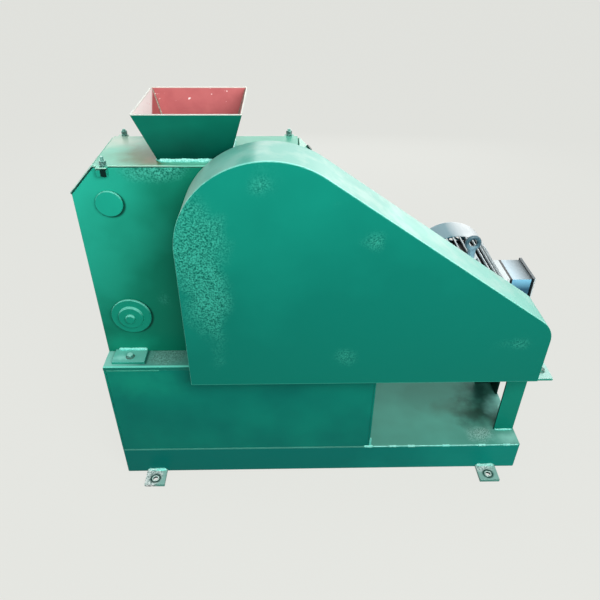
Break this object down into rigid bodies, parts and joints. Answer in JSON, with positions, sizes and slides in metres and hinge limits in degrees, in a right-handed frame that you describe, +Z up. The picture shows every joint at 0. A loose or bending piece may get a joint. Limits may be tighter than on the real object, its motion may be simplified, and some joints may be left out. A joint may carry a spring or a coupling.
{
  "type": "laboratory jaw crusher",
  "caption": "Green sealed laboratory jaw crusher with a square feed hopper, a sloping belt guard and a finned motor on a welded channel base.",
  "frame": {"origin": "on the ground, midway between the four anchor holes", "axes": "+X along the base towards the motor, +Y to the rear, away from the belt guard, +Z up"},
  "size_m": [1.0043, 0.404, 0.8993],
  "materials": {
    "green_paint": "gloss",
    "worn_green_paint": "satin",
    "hopper_paint": "gloss",
    "motor_paint": "satin",
    "cast_iron": "rough",
    "bright_steel": "satin",
    "belt_rubber": "matt"
  },
  "bodies": {
    "root": {"front_rail": "green_paint", "rear_rail": "green_paint", "left_rail": "green_paint", "right_rail": "green_paint", "box_front": "green_paint", "box_rear": "green_paint", "box_ends": "green_paint", "sample_drawer": "green_paint", "front_side_plate": "green_paint", "rear_side_plate": "green_paint", "left_end_wall": "green_paint", "right_end_wall": "green_paint", "corner_plates": "green_paint", "cover_plate": "green_paint", "clamp_lugs": "green_paint", "upper_pin": "green_paint", "lower_pin": "green_paint", "bearings": "green_paint", "guard_front": "green_paint", "guard_band": "green_paint", "motor_posts": "green_paint", "floor_plate": "worn_green_paint", "anchor_lugs": "worn_green_paint", "deck_plate": "worn_green_paint", "body_feet": "worn_green_paint", "motor_plate": "worn_green_paint", "hopper_front": "hopper_paint", "hopper_rear": "hopper_paint", "hopper_left": "hopper_paint", "hopper_right": "hopper_paint", "motor_housing": "motor_paint", "motor_shield": "motor_paint", "fan_cowl": "motor_paint", "terminal_box": "motor_paint", "lifting_eye": "motor_paint", "fixed_jaw_block": "cast_iron", "fixed_jaw_plate": "cast_iron", "moving_jaw": "cast_iron", "moving_jaw_plate": "cast_iron", "flywheel": "cast_iron", "motor_pulley": "cast_iron", "crank_shaft": "bright_steel", "motor_shaft": "bright_steel", "drive_belts": "belt_rubber", "cover_gasket": "belt_rubber"}
  },
  "joints": []
}
